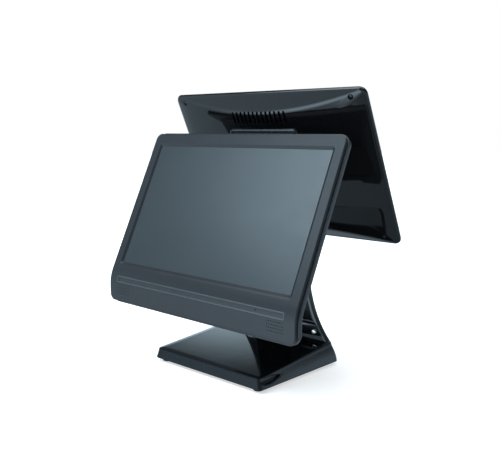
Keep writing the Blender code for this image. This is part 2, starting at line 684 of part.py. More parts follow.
def make_customer_cover(mat, panel):
    outside = [cust_ring(i, w) for i, w in COVER_STEPS]
    cover = loft("customer_back_cover", outside, mat["gloss_black"], panel)
    room = [cust_ring(i, w) for i, w in COVER_ROOM]
    combine(cover, loft("cut_cover_room", room, None, panel))
    slots = [rounded(x - 0.0018, 0.1985, x + 0.0018, 0.2180, 0.0016, 2) for x in slot_row(13, 0.0086)]
    combine(cover, prisms("cut_cover_vents", slots, "Z", -0.03, -0.009, panel))
    stations = ((0.0016, -0.0040), (0.0016, -0.0091), (0.0034, -0.0091), (0.0030, -0.0105))
    for row, u in SCREW_U:
        for side, x in (("left", SCREW_X), ("right", -SCREW_X)):
            name = f"cover_screw_{row}_{side}"
            hole = circle(x, u, 0.0020, 12)
            sink = circle(x, u, 0.0040, 16)
            combine(cover, prism(f"cut_bore_{name}", hole, "Z", -0.03, 0.01, None, panel))
            combine(cover, prism(f"cut_sink_{name}", sink, "Z", -0.03, -0.0088, None, panel))
            rings = [[(a, b, w) for a, b in circle(x, u, r, 12)] for r, w in stations]
            smooth(loft(name, rings, mat["black_steel"], panel))
    levels = ((0.0, COVER_STEPS[-1][1] - GAP), (0.0, -0.0205), (0.003, BOSS_W))
    rings = [
        [(a, b, w) for a, b in rounded(-0.068 + i, 0.078 + i, 0.068 - i, 0.190 - i, 0.006, 3)]
        for i, w in levels
    ]
    loft("customer_mount_boss", rings, mat["satin_black"], panel)


def make_customer_screen(mat, panel):
    front = [(0.0, GAP), (0.0012, 0.0025), (0.004, 0.006), (0.0085, 0.0095), (0.0105, 0.0103)]
    bezel = loft("customer_front_bezel", [cust_ring(i, w) for i, w in front], mat["gloss_black"], panel)
    pocket = rounded(-0.1812, 0.009, 0.1812, CUST_H - 0.009, 0.004, 2)
    combine(bezel, prism("cut_customer_pocket", pocket, "Z", -0.01, 0.0070, None, panel))
    combine(bezel, window_cut("cut_customer_window", CUST_WINDOW_U, 0.0075, 0.0103, panel))
    low, high = CUST_WINDOW_U - 0.005, CUST_WINDOW_U + SCREEN_H + 0.005
    layers = (  # name, half width, growth in height, corner radius, w range, finish
        ("customer_glass", 0.178, 0.0, 0.003, (0.0047, 0.0067), "screen_glass"),
        ("customer_lcd_panel", 0.176, -0.001, 0.002, (-0.0013, 0.0044), "lcd"),
        ("customer_chassis", 0.180, 0.003, 0.004, (-0.0031, -0.0016), "zinc_steel"),
    )
    for name, x, grow, r, (w0, w1), finish in layers:
        outline = rounded(-x, low - grow, x, high + grow, r, 2)
        prism(name, outline, "Z", w0, w1, mat[finish], panel)
    green = mat["circuit_board"]
    box("customer_driver_board", (-0.060, 0.060, -0.0080), (0.060, 0.135, -0.0064), green, panel)


def make_customer_display(mat, stand):
    pivot = frame("customer_tilt_axis", stand, (0, *CUST_AXIS))
    panel = frame("customer_panel", pivot, (0, CUST_Y - CUST_AXIS[0], CUST_Z - CUST_AXIS[1]),
                  (pi / 2 - CUST_LEAN, 0, pi))
    make_customer_cover(mat, panel)
    make_customer_screen(mat, panel)
    dy, dz = CUST_AXIS[0] - CUST_Y, CUST_AXIS[1] - CUST_Z
    axis = (-dy * sin(CUST_LEAN) + dz * cos(CUST_LEAN), dy * cos(CUST_LEAN) + dz * sin(CUST_LEAN))
    back = BOSS_W - GAP
    low, high = (-0.045, 0.082, back - LEAF_T), (0.045, 0.114, back)
    lugs = (0.0263, 0.0303)
    hinge_leaf("customer_hinge_leaf", low, high, axis, 0.0075, CUST_PIN_R, lugs, mat["zinc_steel"], panel)


# ---- the whole terminal ----------------------------------------------------------------


def main():
    for obj in list(bpy.data.objects):
        bpy.data.objects.remove(obj, do_unlink=True)
    mat = make_materials()
    stand = frame("stand", None, (0, STAND_Y, 0))
    make_base(mat, stand)
    make_neck(mat, stand)
    make_stand_hinges(mat, stand)
    make_main_display(mat, stand)
    make_customer_display(mat, stand)


main()
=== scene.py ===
import json
from math import cos, exp, pi, radians, sin

import bmesh
import bpy
from mathutils import Matrix, Vector


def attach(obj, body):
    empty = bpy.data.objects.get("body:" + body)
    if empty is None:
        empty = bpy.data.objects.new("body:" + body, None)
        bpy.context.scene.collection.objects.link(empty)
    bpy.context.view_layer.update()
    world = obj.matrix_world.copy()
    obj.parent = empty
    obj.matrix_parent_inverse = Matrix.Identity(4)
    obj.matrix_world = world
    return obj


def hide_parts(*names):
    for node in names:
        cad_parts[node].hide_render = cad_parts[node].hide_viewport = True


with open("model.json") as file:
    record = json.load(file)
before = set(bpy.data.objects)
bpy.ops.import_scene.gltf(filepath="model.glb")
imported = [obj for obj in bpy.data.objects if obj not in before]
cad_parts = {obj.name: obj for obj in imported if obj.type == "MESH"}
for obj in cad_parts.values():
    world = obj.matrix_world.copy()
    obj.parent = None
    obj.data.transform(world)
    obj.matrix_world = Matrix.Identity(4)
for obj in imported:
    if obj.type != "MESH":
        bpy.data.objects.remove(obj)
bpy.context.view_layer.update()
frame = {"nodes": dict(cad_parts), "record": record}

NODES = frame["nodes"]

# ---- dimensions that the solids were driven by, in metres --------------------------------

STAND_Y = -0.0150  # the stand's own origin in the world

MAIN_W = 0.388
MAIN_LEAN = radians(25.8)
MAIN_GLASS_Y = -0.095
MAIN_GLASS_Z = 0.1487
SCREEN_W = 0.346
SCREEN_H = 0.198
MAIN_TOP = 0.2217  # the case's top edge above the opening's foot
CASE_R = 0.018
CASE_T = 0.0112
FACE = 0.0025  # the bezel's face in front of the glass
CHIN_START = -0.012  # where the face begins to bend
CHIN_R = 0.065
CHIN_DROP = 0.0248  # the upright stretch under the bend
CHIN_ARC_END = CHIN_START - CHIN_R * MAIN_LEAN
CHIN_BOTTOM = CHIN_ARC_END - CHIN_DROP
RIM = 0.0030  # how far the rear shell's rim stands outside the bezel
RIM_BACK = 0.0046  # the rim's front, behind the bezel's face
BEZEL_R = 0.010
WINDOW_GROW = 0.0035  # the width of the bevel round the screen opening
HUMP_T = 0.045
HUMP = ((0.172, -0.036, 0.204), (0.150, -0.024, 0.166))  # half width, foot and head: front, back
BAY_X = 0.075  # the cable bay's half width
BAY_Y = (-0.092, 0.0)
BAY_Z = (0.05, 0.128)
STRIP_S = (-0.0330, -0.0228)
STRIP_X = 0.173
LAMP = (0.123, -0.0276)  # across the panel, and down its bent face
BUTTON = (0.110, -0.1020)  # x and y of the button's centre in the stand's frame

CUST_W = 0.380
CUST_H = 0.2425
CUST_LEAN = radians(23.0)
CUST_Y = 0.1335
CUST_Z = 0.1862
CUST_R = 0.011
CUST_WINDOW_U = 0.024

BASE_W = 0.218
BASE_D = 0.1736
BASE_Z = 0.005
BASE_FRONT_Z = 0.0205
BASE_REAR_Z = 0.0347
NECK_BACK = 0.0855
NECK_RIM_Y = 0.076
NECK_Z = 0.035
NECK_TOP = 0.205
NECK_HALF = 0.050
NECK_FLARE = 0.046  # extra half width at the foot
NECK_DECAY = 0.051  # the height over which the flare falls to a third

MAIN = Matrix((
    (1, 0, 0, 0),
    (0, sin(MAIN_LEAN), -cos(MAIN_LEAN), MAIN_GLASS_Y + STAND_Y),
    (0, cos(MAIN_LEAN), sin(MAIN_LEAN), MAIN_GLASS_Z),
    (0, 0, 0, 1),
))  # the operator's panel: its axes run across it, up it and out of its screen
CUST = Matrix((
    (-1, 0, 0, 0),
    (0, -sin(CUST_LEAN), cos(CUST_LEAN), CUST_Y + STAND_Y),
    (0, cos(CUST_LEAN), sin(CUST_LEAN), CUST_Z),
    (0, 0, 0, 1),
))
STAND = Matrix.Translation((0, STAND_Y, 0))


# ---- materials ---------------------------------------------------------------------------


class Shader:
    """A small builder for procedural materials."""

    def __init__(self, name):
        self.material = bpy.data.materials.new(name)
        self.material.use_nodes = True
        self.tree = self.material.node_tree
        self.bsdf = self.tree.nodes["Principled BSDF"]
        self.coords = self.add("ShaderNodeTexCoord")

    def add(self, kind, inputs=(), **settings):
        node = self.tree.nodes.new(kind)
        for key, value in settings.items():
            setattr(node, key, value)
        for key, value in dict(inputs).items():
            self.put(node.inputs[key], value)
        return node

    def put(self, socket, value):
        if isinstance(value, bpy.types.NodeSocket):
            self.tree.links.new(value, socket)
        else:
            socket.default_value = value

    def set(self, **values):
        for key, value in values.items():
            self.put(self.bsdf.inputs[key.replace("_", " ")], value)

    def place(self, scale=(1, 1, 1), rotation=(0, 0, 0)):
        node = self.add("ShaderNodeMapping", {"Scale": scale, "Rotation": rotation,
                                              "Vector": self.coords.outputs["Object"]})
        return node.outputs["Vector"]

    def noise(self, scale, detail=3.0, roughness=0.55, vector=None):
        node = self.add("ShaderNodeTexNoise", {
            "Scale": scale, "Detail": detail, "Roughness": roughness,
            "Vector": vector or self.coords.outputs["Object"]})
        return node.outputs["Fac"]

    def cells(self, scale, randomness=1.0):
        node = self.add("ShaderNodeTexVoronoi", {
            "Scale": scale, "Randomness": randomness, "Vector": self.coords.outputs["Object"]})
        return node.outputs["Distance"]

    def ramp(self, value, low, high, start, end):
        """Maps value from low..high to start..end, clamped."""
        node = self.add("ShaderNodeMapRange", {
            "Value": value, "From Min": low, "From Max": high, "To Min": start, "To Max": end})
        return node.outputs["Result"]

    def maths(self, operation, a, b):
        node = self.add("ShaderNodeMath", operation=operation)
        self.put(node.inputs[0], a)
        self.put(node.inputs[1], b)
        return node.outputs["Value"]

    def tint(self, factor, dark, light):
        node = self.add("ShaderNodeMix", data_type="RGBA")
        self.put(node.inputs["Factor"], factor)
        node.inputs[6].default_value = (*dark, 1.0)
        node.inputs[7].default_value = (*light, 1.0)
        return node.outputs[2]

    def bump(self, *layers):
        """Bump from (height, strength, distance) layers, one over the other."""
        normal = None
        for height, strength, distance in layers:
            node = self.add("ShaderNodeBump", {
                "Strength": strength, "Distance": distance, "Height": height})
            if normal:
                self.put(node.inputs["Normal"], normal)
            normal = node.outputs["Normal"]
        self.put(self.bsdf.inputs["Normal"], normal)
        return self.material


def scaled(colour, k):
    return tuple(c * k for c in colour)


def moulded(name, colour, roughness, grain=2600.0, depth=0.35, spread=0.07, **more):
    """Moulded plastic: a fine etched grain, faint flow marks and rubbed patches."""
    m = Shader(name)
    flow = m.noise(9.0, 4.0, 0.6, m.place((1.0, 1.0, 0.45)))
    rub = m.noise(55.0, 5.0, 0.62)
    fine = m.cells(grain)
    base = m.tint(m.ramp(flow, 0.30, 0.70, 0.0, 1.0), scaled(colour, 0.94), scaled(colour, 1.06))
    speck = m.ramp(fine, 0.10, 0.55, 0.0, depth)
    node = m.add("ShaderNodeMix", data_type="RGBA", blend_type="MULTIPLY")
    m.put(node.inputs["Factor"], speck)
    m.put(node.inputs[6], base)
    node.inputs[7].default_value = (0.78, 0.79, 0.80, 1.0)
    rough = m.maths("ADD", m.ramp(rub, 0.30, 0.72, roughness - spread, roughness + spread),
                    m.ramp(fine, 0.0, 0.6, -0.03, 0.03))
    m.set(Base_Color=node.outputs[2], Roughness=rough, **more)
    return m.bump((fine, depth, 0.00012), (m.noise(420.0, 3.0, 0.6), 0.04, 0.0001))


def lacquer(name, colour, roughness, peel=0.03):
    """Polished black plastic: orange peel, fine hairlines and a little dust."""
    m = Shader(name)
    hair_a = m.noise(70.0, 4.0, 0.7, m.place((1.0, 16.0, 0.6), (0.3, 0.5, 0.7)))
    hair_b = m.noise(60.0, 4.0, 0.7, m.place((14.0, 1.0, 0.8), (0.9, 0.2, 0.1)))
    dust = m.ramp(m.cells(520.0), 0.0, 0.055, 1.0, 0.0)
    keep = m.ramp(m.noise(160.0, 2.0, 0.5), 0.58, 0.66, 0.0, 0.55)
    dust = m.maths("MULTIPLY", dust, keep)
    base = m.tint(dust, colour, (0.030, 0.033, 0.036))
    lines = m.maths("MAXIMUM", m.ramp(hair_a, 0.66, 0.74, 0.0, 1.0),
                    m.ramp(hair_b, 0.67, 0.75, 0.0, 1.0))
    smear = m.ramp(m.noise(11.0, 5.0, 0.6), 0.42, 0.75, 0.0, 0.035)
    rough = m.maths("ADD", m.ramp(lines, 0.0, 1.0, roughness, roughness + 0.045), smear)
    m.set(Base_Color=base, Roughness=rough)
    fine_peel, broad_peel = m.noise(130.0, 2.0, 0.5), m.noise(38.0, 1.0, 0.5)
    return m.bump((fine_peel, peel, 0.0004), (broad_peel, peel, 0.0006))


def brushed(name, colour, roughness, stretch=(1.0, 40.0, 40.0)):
    """Sheet metal with a rolled grain and light handling marks."""
    m = Shader(name)
    grain = m.noise(45.0, 6.0, 0.7, m.place(stretch))
    patch = m.noise(16.0, 4.0, 0.6)
    base = m.tint(m.ramp(patch, 0.30, 0.70, 0.0, 1.0), scaled(colour, 0.86), scaled(colour, 1.08))
    rough = m.maths("ADD", m.ramp(grain, 0.25, 0.75, roughness - 0.08, roughness + 0.10),
                    m.ramp(patch, 0.3, 0.7, -0.04, 0.04))
    m.set(Base_Color=base, Roughness=rough, Metallic=1.0)
    return m.bump((grain, 0.25, 0.0002))


def make_rubber():
    """Matt rubber with grit in it and paler where it is worn."""
    m = Shader("rubber")
    grit = m.cells(1500.0)
    wear = m.noise(70.0, 5.0, 0.65)
    base = m.tint(m.ramp(wear, 0.45, 0.75, 0.0, 1.0), (0.010, 0.010, 0.011), (0.028, 0.028, 0.029))
    m.set(Base_Color=base, Roughness=m.ramp(grit, 0.0, 0.6, 0.66, 0.88))
    return m.bump((grit, 0.5, 0.0003))


def make_board():
    """A green board with tracks and pads under the solder mask."""
    m = Shader("circuit_board")
    tracks = m.add("ShaderNodeTexBrick", {
        "Vector": m.place(), "Scale": 190.0, "Mortar Size": 0.028, "Brick Width": 0.9,
        "Row Height": 0.22, "Color1": (0, 0, 0, 1), "Color2": (0, 0, 0, 1), "Mortar": (1, 1, 1, 1)})
    pads = m.ramp(m.cells(260.0, randomness=0.85), 0.16, 0.20, 1.0, 0.0)
    copper = m.maths("MAXIMUM", tracks.outputs["Fac"], pads)
    mask = m.tint(m.noise(30.0, 3.0), (0.006, 0.050, 0.026), (0.010, 0.085, 0.042))
    node = m.add("ShaderNodeMix", data_type="RGBA")
    m.put(node.inputs["Factor"], m.ramp(copper, 0.0, 1.0, 0.0, 0.65))
    m.put(node.inputs[6], mask)
    node.inputs[7].default_value = (0.30, 0.26, 0.12, 1.0)
    m.set(Base_Color=node.outputs[2], Roughness=m.ramp(pads, 0.0, 1.0, 0.36, 0.22))
    return m.bump((copper, 0.3, 0.0001))


def make_glass(name, colour, haze, sparkle):
    """Touch glass over a dark panel: an etched anti-glare face with faint smears."""
    m = Shader(name)
    grain = m.noise(2400.0, 2.0, 0.5)
    smear = m.noise(13.0, 5.0, 0.6, m.place((1.0, 0.5, 1.6), (0.2, 0.0, 0.6)))
    print_marks = m.noise(48.0, 4.0, 0.55)
    base = m.tint(m.ramp(smear, 0.3, 0.7, 0.0, 1.0), scaled(colour, 0.97), scaled(colour, 1.04))
    rough = m.maths("ADD", m.ramp(smear, 0.35, 0.72, haze - 0.02, haze + 0.02),
                    m.ramp(print_marks, 0.4, 0.7, 0.0, 0.02))
    m.set(Base_Color=base, Roughness=rough, IOR=1.52)
    return m.bump((grain, sparkle, 0.00005))


def make_lamp():
    """The lamp's dark window."""
    m = Shader("light_pipe")
    glow = m.ramp(m.noise(900.0, 2.0), 0.3, 0.7, 0.16, 0.30)
    m.set(Base_Color=(0.004, 0.005, 0.006, 1.0), Roughness=glow, Specular_IOR_Level=0.12)
    return m.bump((m.noise(1500.0), 0.1, 0.0001))


MATS = {
    "bezel_plastic": moulded("bezel_plastic", (0.020, 0.022, 0.026), 0.29, 2600.0, 0.16, 0.015,
                             Specular_IOR_Level=0.20),
    "shell_plastic": moulded("shell_plastic", (0.020, 0.024, 0.029), 0.30, 3000.0, 0.20, 0.03),
    "trim_plastic": moulded("trim_plastic", (0.020, 0.023, 0.027), 0.25, 3200.0, 0.10, 0.015,
                            Specular_IOR_Level=0.26),
    # A lighter copy of the strip's plastic for its raised edge: a painted highlight.
    "trim_ridge_painted_highlight": moulded("trim_ridge_painted_highlight", (0.042, 0.048, 0.054), 0.30, 3200.0, 0.10, 0.02),
    "gloss_black": lacquer("gloss_black", (0.0035, 0.0038, 0.0045), 0.035),
    "edge_satin": moulded("edge_satin", (0.011, 0.014, 0.019), 0.22, 2800.0, 0.08, 0.03),
    # A darker, duller copy of edge_satin for the base's front wall: painted shade.
    "base_front_painted_shade": moulded("base_front_painted_shade", (0.0075, 0.0100, 0.0135), 0.26, 2800.0, 0.08, 0.03,
                          Specular_IOR_Level=0.10),
    # Near-black and dull: painted shade for the slot at the strip's left end.
    "slot_painted_shade": moulded("slot_painted_shade", (0.0015, 0.0018, 0.0022), 0.50, 1800.0, 0.2,
                         Specular_IOR_Level=0.08),
    "satin_black": moulded("satin_black", (0.016, 0.019, 0.023), 0.24, 2400.0, 0.14, 0.05),
    "screen_glass": make_glass("screen_glass", (0.012, 0.018, 0.023), 0.30, 0.20),
    "lcd_panel": make_glass("lcd_panel", (0.012, 0.014, 0.016), 0.28, 0.1),
    "zinc_steel": brushed("zinc_steel", (0.46, 0.47, 0.48), 0.38),
    "black_steel": brushed("black_steel", (0.045, 0.045, 0.048), 0.34),
    "aluminium": brushed("aluminium", (0.66, 0.67, 0.68), 0.34),
    "nickel": brushed("nickel", (0.66, 0.64, 0.60), 0.20, (6.0, 6.0, 30.0)),
    "circuit_board": make_board(),
    "rubber": make_rubber(),
    "socket_black": moulded("socket_black", (0.014, 0.014, 0.015), 0.52, 1800.0, 0.4),
    "light_pipe": make_lamp(),
}


# ---- mesh building -----------------------------------------------------------------------


def piece(name, verts, faces, body, finish, place=None, replaces=(), sharp=35.0):
    """A mesh object that rides a body, or a cutter when it has none."""
    mesh = bpy.data.meshes.new(name)
    mesh.from_pydata([tuple(v) for v in verts], [], faces)
    bm = bmesh.new()
    bm.from_mesh(mesh)
    bmesh.ops.remove_doubles(bm, verts=bm.verts, dist=1e-7)
    bmesh.ops.recalc_face_normals(bm, faces=bm.faces)
    bm.to_mesh(mesh)
    bm.free()
    if place:
        mesh.transform(place)
        mesh.update()
    obj = bpy.data.objects.new(name, mesh)
    bpy.context.scene.collection.objects.link(obj)
    mesh.materials.append(MATS[finish])
    mesh.shade_smooth()
    mesh.set_sharp_from_angle(angle=radians(sharp))
    if body:
        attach(obj, body)
    if replaces:
        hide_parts(*replaces)
    return obj


def loft_data(rings, closed_section=False):
    """Vertices and faces through rings of equally many points.

    A closed section joins the last ring to the first.
    """
    n = len(rings[0])
    verts = [p for ring in rings for p in ring]
    faces = []
    pairs = [(k, k + 1) for k in range(len(rings) - 1)]
    if closed_section:
        pairs.append((len(rings) - 1, 0))
    for a, b in pairs:
        for i in range(n):
            j = (i + 1) % n
            faces.append((a * n + i, a * n + j, b * n + j, b * n + i))
    if not closed_section:
        faces.append(tuple(range(n))[::-1])
        faces.append(tuple(range((len(rings) - 1) * n, len(rings) * n)))
    return verts, faces


def loft(name, rings, body, finish, place=None, replaces=(), closed_section=False, sharp=35.0):
    verts, faces = loft_data(rings, closed_section)
    return piece(name, verts, faces, body, finish, place, replaces, sharp)


def rounded(x0, y0, x1, y1, r, nx=1, ny=1, nc=6):
    """A rounded rectangle's points, anticlockwise from the right side's foot."""
    points = []
    sides = (
        ((x1, y0 + r), (x1, y1 - r), ny, (x1 - r, y1 - r), 0.0),
        ((x1 - r, y1), (x0 + r, y1), nx, (x0 + r, y1 - r), 0.5 * pi),
        ((x0, y1 - r), (x0, y0 + r), ny, (x0 + r, y0 + r), pi),
        ((x0 + r, y0), (x1 - r, y0), nx, (x1 - r, y0 + r), 1.5 * pi),
    )
    for (ax, ay), (bx, by), n, (cx, cy), start in sides:
        for i in range(n):
            t = i / n
            points.append((ax + (bx - ax) * t, ay + (by - ay) * t))
        for i in range(nc):
            a = start + 0.5 * pi * i / nc
            points.append((cx + r * cos(a), cy + r * sin(a)))
    return points


def box_round(centre, half_x, half_y, r, nc):
    """A rounded rectangle's points about a centre."""
    x, y = centre
    return rounded(x - half_x, y - half_y, x + half_x, y + half_y, r, 1, 1, nc)


def circle(cx, cy, r, n):
    return [(cx + r * cos(2 * pi * i / n), cy + r * sin(2 * pi * i / n)) for i in range(n)]


def between(start, end, t):
    """The outline a share t of the way from one outline to another of as many points."""
    return [(ax + (bx - ax) * t, ay + (by - ay) * t) for (ax, ay), (bx, by) in zip(start, end)]


def catmull_rom(a, b, c, d, t):
    """The value at t, 0 to 1, between b and c."""
    squared, cubed = 2 * a - 5 * b + 4 * c - d, 3 * b - a - 3 * c + d
    return 0.5 * (2 * b + (c - a) * t + squared * t * t + cubed * t ** 3)


def smooth_curve(points, per=6):
    """Catmull-Rom points through a list of pairs."""
    out = []
    for k in range(len(points) - 1):
        p0 = points[max(k - 1, 0)]
        p1, p2 = points[k], points[k + 1]
        p3 = points[min(k + 2, len(points) - 1)]
        for i in range(per):
            out.append(tuple(catmull_rom(*axis, i / per) for axis in zip(p0, p1, p2, p3)))
    out.append(points[-1])
    return out


def cut(target, cutters, sharp=35.0):
    """Cuts each cutter out of the target in turn, and removes it."""
    bpy.context.view_layer.update()
    for cutter in cutters:
        modifier = target.modifiers.new("cut", "BOOLEAN")
        modifier.operation = "DIFFERENCE"
        modifier.solver = "EXACT"
        modifier.object = cutter
        bpy.context.view_layer.update()
        depsgraph = bpy.context.evaluated_depsgraph_get()
        done = bpy.data.meshes.new_from_object(target.evaluated_get(depsgraph))
        target.modifiers.clear()
        target.data = done
        bpy.data.objects.remove(cutter)
    target.data.set_sharp_from_angle(angle=radians(sharp))


def joined_cutter(parts, place):
    """One mesh of several closed shapes, each given by its vertices and faces."""
    verts, faces = [], []
    for v, f in parts:
        faces += [tuple(i + len(verts) for i in face) for face in f]
        verts += v
    return piece("cutter", verts, faces, None, "socket_black", place)


def cutter(prism_list, place):
    """One mesh of several prisms: each is (outline, low, high) along the frame's third axis."""
    return joined_cutter([loft_data([[(a, b, low) for a, b in outline], [(a, b, high) for a, b in outline]])
                          for outline, low, high in prism_list], place)


# ---- operator display --------------------------------------------------------------------


def face_point(x, s, depth):
    """The panel-frame point at developed height s on the bent face, depth behind it."""
    if s >= CHIN_START:
        return (x, s, FACE - depth)
    turn = min(CHIN_START - s, CHIN_R * MAIN_LEAN) / CHIN_R
    u = CHIN_START - (CHIN_R - depth) * sin(turn)
    w = FACE - CHIN_R + (CHIN_R - depth) * cos(turn)
    below = max(CHIN_ARC_END - s, 0.0)
    return (x, u - below * cos(MAIN_LEAN), w - below * sin(MAIN_LEAN))


PANEL_STEPS = (24, 64, 10)  # points along, up and round each corner of the operator's outlines
WINDOW_R = 0.0012


def case_outline(inset, r=CASE_R):
    x = MAIN_W / 2 - inset
    return rounded(-x, CHIN_BOTTOM + inset, x, MAIN_TOP - inset, max(r - inset, 0.003), *PANEL_STEPS)


def window_outline(grow):
    x = SCREEN_W / 2 + grow
    return rounded(-x, -grow, x, SCREEN_H + grow, WINDOW_R + grow, *PANEL_STEPS)


def bent(outline, depth):
    return [face_point(x, s, depth) for x, s in outline]


RIM_FRONT_R = 0.0009
RIM_REAR_R = 0.0014
RIM_REACH = 0.030  # how far in the rim's back wall runs
RIM_WALL = 0.002
RIM_LAP = 0.0030  # how far its front runs in under the bezel
RIM_INNER = 0.0080  # the inside of its side wall
BUTTON_HOLE = (0.0056, 0.0022)  # half sizes across and fore
BUTTON_HOLE_Z = (-0.006, 0.012)  # heights above the chin's foot
BUTTON_ROOM = (0.0076, 0.0029)  # the same for the room round the button's flange
BUTTON_ROOM_Z = (0.0072, 0.0125)


def make_rim():
    """The rear shell's rim, set back from the bezel's face all round, with the button's opening."""
    front, rear = RIM_FRONT_R, RIM_REAR_R
    turns = [radians(a) for a in range(0, 91, 15)]
    profile = [(RIM + RIM_LAP, RIM_BACK), (RIM, RIM_BACK)]
    profile += [(front * (1 - sin(a)), RIM_BACK + front * (1 - cos(a))) for a in turns]
    profile += [(rear * (1 - cos(a)), CASE_T - rear * (1 - sin(a))) for a in turns]
    profile += [(RIM_REACH, CASE_T), (RIM_REACH, CASE_T - RIM_WALL), (RIM_INNER, CASE_T - RIM_WALL)]
    rings = [bent(case_outline(i), d) for i, d in profile]
    rim = loft("operator_case_rim", rings, "main_display", "edge_satin", MAIN, closed_section=True)
    foot = (MAIN @ Vector(face_point(BUTTON[0], CHIN_BOTTOM, 0.0))).z
    hole = (box_round(BUTTON, *BUTTON_HOLE, 0.0010, 3), *(foot + z for z in BUTTON_HOLE_Z))
    room = (box_round(BUTTON, *BUTTON_ROOM, 0.0005, 2), *(foot + z for z in BUTTON_ROOM_Z))
    cut(rim, [cutter([hole], STAND), cutter([room], STAND)])


HUMP_SHOULDER = 0.007
HUMP_R = 0.014
HOUSING_SLOTS = [(i - 5.5) * 0.0105 for i in range(12)]
HOUSING_RIBS = (0.034, 0.030, 0.026, 0.022)


def make_housing():
    """The housing behind the rim, with rounded shoulders, vents and the cable bay."""
    (x0, u0, v0), (x1, u1, v1) = HUMP
    w0, w1 = FACE - CASE_T + 0.001, -HUMP_T
    shoulder = HUMP_SHOULDER
    t_end = 1 - 1.2 * shoulder / HUMP_T
    w_end = w0 + (w1 - w0) * t_end
    stations = [(t_end * k / 10, 0.0, w0 + (w_end - w0) * k / 10) for k in range(11)]
    for a in range(10, 91, 10):
        rise = sin(radians(a))
        stations.append((t_end + (1 - t_end) * rise * 0.5, shoulder * (1 - cos(radians(a))),
                         w_end + (w1 - w_end) * rise))
    rings = []
    for t, inset, w in stations:
        x = x0 + (x1 - x0) * t - inset
        low = u0 + (u1 - u0) * t + inset
        high = v0 + (v1 - v0) * t - inset
        outline = rounded(-x, low, x, high, max(HUMP_R - inset * 0.6, 0.004), 16, 10, 8)
        rings.append([(a, b, w) for a, b in outline])
    housing = loft("operator_housing", rings, "main_display", "shell_plastic", MAIN, ("main_rear_shell",))
    bay = (rounded(-BAY_X, BAY_Y[0], BAY_X, BAY_Y[1], 0.003), *BAY_Z)
    slots = [(box_round((x, 0.144), 0.0022, 0.012, 0.0021, 4), -0.060, -0.0425) for x in HOUSING_SLOTS]
    ribs = [(box_round((0.0, u), 0.112, 0.0009, 0.0008, 3), -0.060, -HUMP_T + 0.0012)
            for u in HOUSING_RIBS]
    cut(housing, [cutter([bay], STAND), cutter(slots, MAIN), cutter(ribs, MAIN)])


BEZEL_T = 0.0022
BEZEL_LIP = 0.0007  # the outer edge's rounding
SPEAKER_X = 0.1435  # the innermost column, then the pitches across and down
SPEAKER_S = -0.0372
SPEAKER_PITCH = (0.0038, 0.0043)
SPEAKER_GRID = (8, 4)
SPEAKER_STAGGER = 0.0012
SPEAKER_HOLE_R = 0.00075


def make_bezel():
    """The bezel: flat, then bent down the chin, with a bevelled opening and speaker holes."""
    lip, r = BEZEL_LIP, BEZEL_R + RIM
    edge = [(RIM, RIM_BACK + 0.0006), (RIM, 0.0030), (RIM, 0.0018), (RIM, lip)]
    edge += [(RIM + lip - lip * cos(radians(a)), lip - lip * sin(radians(a))) for a in (30, 60, 90)]
    rings = [bent(case_outline(i, r), d) for i, d in edge]
    start, end = case_outline(RIM + lip, r), window_outline(WINDOW_GROW + 0.0006)
    face_rings = [between(start, end, k / 15) for k in range(1, 16)]
    rings += [bent(ring, 0.0) for ring in face_rings]
    bevel = ((WINDOW_GROW + 0.0002, 0.00012), (WINDOW_GROW - 0.0002, 0.0005), (0.0004, 0.0019),
             (0.0001, 0.00212), (0.0, BEZEL_T))
    rings += [bent(window_outline(g), d) for g, d in bevel]
    rings += [bent(ring, BEZEL_T) for ring in reversed(face_rings[::3])]
    rings += [bent(case_outline(RIM + 0.0016, r), d) for d in (BEZEL_T, RIM_BACK + 0.0006)]
    bezel = loft("operator_bezel", rings, "main_display", "bezel_plastic", MAIN, ("main_front_bezel",),
                 closed_section=True)
    columns, rows = SPEAKER_GRID
    holes = []
    for side in (-1, 1):
        for row in range(rows):
            for column in range(columns):
                x = SPEAKER_X + SPEAKER_PITCH[0] * column + (SPEAKER_STAGGER if row % 2 else 0.0)
                holes.append(face_hole(side * x, SPEAKER_S - SPEAKER_PITCH[1] * row, SPEAKER_HOLE_R))
    holes.append(face_hole(*LAMP, 0.0013))
    cut(bezel, [joined_cutter(holes, MAIN)])


def face_hole(x, s, r):
    """A round hole square to the bent face."""
    low, high = face_point(x, s, -0.002), face_point(x, s, 0.006)
    axis = (Vector(high) - Vector(low)).normalized()
    across = Vector((1, 0, 0))
    up = across.cross(axis)
    return loft_data([[tuple(Vector(centre) + across * a + up * b) for a, b in circle(0, 0, r, 10)]
                      for centre in (low, high)])


STRIP_R = 0.0022
STRIP_PROFILE = (  # inset and height of each ring, from under the face to the middle
    (0.0, -0.0012), (0.0, 0.0001), (0.0002, 0.00032), (0.0005, 0.00040), (0.0008, 0.00032),
    (0.0011, 0.00004), (0.0016, 0.00002), (0.0025, 0.00002), (0.0040, 0.00002),
)
STRIP_RIDGE = (1, 6)  # the rings that bound its raised edge


def make_trim():
    """The shallow framed strip across the chin, with a raised edge painted lighter: a painted highlight."""
    low, high = STRIP_S

    def ring(inset, height):
        points = rounded(-STRIP_X + inset, low + inset, STRIP_X - inset, high - inset,
                         max(STRIP_R - inset, 0.0004), 40, 4, 5)
        return [face_point(x, s, -height) for x, s in points]

    rings = [ring(inset, height) for inset, height in STRIP_PROFILE]
    strip = loft("operator_trim_strip", rings, "main_display", "trim_plastic", MAIN, ("main_trim_strip",))
    # The ridge's faces take the lighter copy: a painted highlight along the raised edge.
    strip.data.materials.append(MATS["trim_ridge_painted_highlight"])
    first, last = (k * len(rings[0]) for k in STRIP_RIDGE)
    for face in strip.data.polygons:
        face.material_index = 1 if first <= face.index < last else 0
    cut(strip, [joined_cutter([face_hole(*LAMP, 0.0012)], MAIN)])


